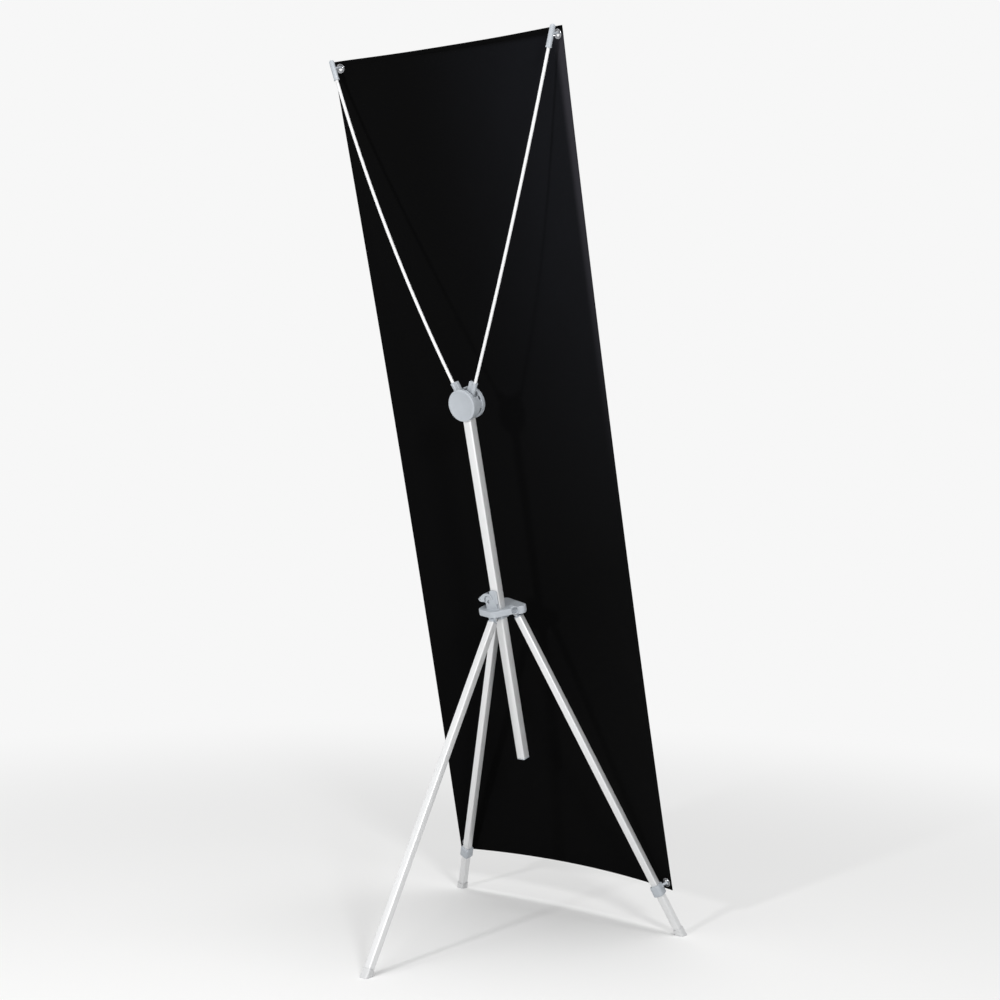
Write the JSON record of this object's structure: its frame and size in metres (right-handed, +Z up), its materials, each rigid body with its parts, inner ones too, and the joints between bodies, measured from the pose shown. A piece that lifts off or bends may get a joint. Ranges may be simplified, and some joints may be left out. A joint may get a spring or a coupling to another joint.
{
  "type": "tripod banner stand",
  "caption": "Folding tripod stand with a leaning mast and two bowed arms that hold a tall sheet by its corners.",
  "frame": {"origin": "centre of the bounding box's base, on the floor", "axes": "+Z up; the sheet's front faces -Y and the rear leg points to +Y; +X is to the right as seen from the front"},
  "size_m": [0.6274, 0.685, 1.8456],
  "materials": {
    "grey_plastic": "satin moulded, light blue-grey",
    "satin_aluminium": "satin extruded",
    "white_rod": "smooth white glass-fibre rod",
    "zinc_steel": "zinc plated",
    "bright_eyelet": "bright nickel",
    "dark_rubber": "matt",
    "black_sheet": "semi-matt film"
  },
  "bodies": {
    "hub": {"hub_plate": "grey_plastic", "lever_pin": "zinc_steel", "clamp_shoe": "dark_rubber", "leg_pin_rear": "zinc_steel", "leg_pin_left": "zinc_steel", "leg_pin_right": "zinc_steel"},
    "clamp_lever": {"clamp_lever": "grey_plastic"},
    "mast": {"mast_tube": "satin_aluminium", "mast_plug": "grey_plastic", "head_core": "grey_plastic", "head_rear_cover": "grey_plastic", "head_front_cover": "grey_plastic", "mast_cross_pin": "zinc_steel", "head_screw_1": "zinc_steel", "head_screw_2": "zinc_steel", "head_screw_3": "zinc_steel", "arm_pin_left": "zinc_steel", "arm_pin_right": "zinc_steel", "banner_sheet": "black_sheet"},
    "arm_left": {"arm_socket_left": "grey_plastic", "arm_rod_left": "white_rod", "arm_tip_left": "grey_plastic", "eyelet_top_left": "bright_eyelet"},
    "arm_right": {"arm_socket_right": "grey_plastic", "arm_rod_right": "white_rod", "arm_tip_right": "grey_plastic", "eyelet_top_right": "bright_eyelet"},
    "leg_rear": {"leg_knuckle_rear": "grey_plastic", "leg_tube_rear": "satin_aluminium", "leg_foot_rear": "grey_plastic"},
    "leg_left": {"leg_knuckle_left": "grey_plastic", "leg_tube_left": "satin_aluminium", "leg_foot_left": "grey_plastic"},
    "leg_right": {"leg_knuckle_right": "grey_plastic", "leg_tube_right": "satin_aluminium", "leg_foot_right": "grey_plastic"},
    "collar_left": {"collar_left": "grey_plastic", "eyelet_bottom_left": "bright_eyelet"},
    "collar_right": {"collar_right": "grey_plastic", "eyelet_bottom_right": "bright_eyelet"}
  },
  "joints": [
    {"name": "mast_slide", "type": "slide", "parent": "hub", "child": "mast", "axis": [0, 0.2694, 0.963], "range_m": [-0.3, 0], "deforming": ["banner_sheet"]},
    {"name": "clamp_lever_turn", "type": "hinge", "parent": "hub", "child": "clamp_lever", "pos_m": [0.018, -0.0652, 0.71171], "axis": [0, 0.963, -0.2694], "range_deg": [0, 25]},
    {"name": "arm_fold_left", "type": "hinge", "parent": "mast", "child": "arm_left", "pos_m": [-0.0154, 0.05383, 1.13717], "axis": [0, 0.963, -0.2694], "range_deg": [0, 21], "deforming": ["banner_sheet"]},
    {"name": "arm_fold_right", "type": "hinge", "parent": "mast", "child": "arm_right", "pos_m": [0.0154, 0.05383, 1.13717], "axis": [0, -0.963, 0.2694], "range_deg": [0, 21], "deforming": ["banner_sheet"]},
    {"name": "leg_fold_rear", "type": "hinge", "parent": "hub", "child": "leg_rear", "pos_m": [0, -0.0505, 0.67332], "axis": [-1, 0, 0], "range_deg": [0, 45.2]},
    {"name": "leg_fold_left", "type": "hinge", "parent": "hub", "child": "leg_left", "pos_m": [-0.0268, -0.09673, 0.68626], "axis": [0.1478, -0.9524, 0.2665], "range_deg": [0, 21.1], "deforming": ["banner_sheet"]},
    {"name": "leg_fold_right", "type": "hinge", "parent": "hub", "child": "leg_right", "pos_m": [0.0268, -0.09673, 0.68626], "axis": [0.1478, 0.9524, -0.2665], "range_deg": [0, 21.1], "deforming": ["banner_sheet"]},
    {"name": "collar_slide_left", "type": "slide", "parent": "leg_left", "child": "collar_left", "axis": [0.3561, 0.3026, 0.8841], "range_m": [0, 0.2], "deforming": ["banner_sheet"]},
    {"name": "collar_slide_right", "type": "slide", "parent": "leg_right", "child": "collar_right", "axis": [-0.3561, 0.3026, 0.8841], "range_m": [0, 0.2], "deforming": ["banner_sheet"]}
  ]
}
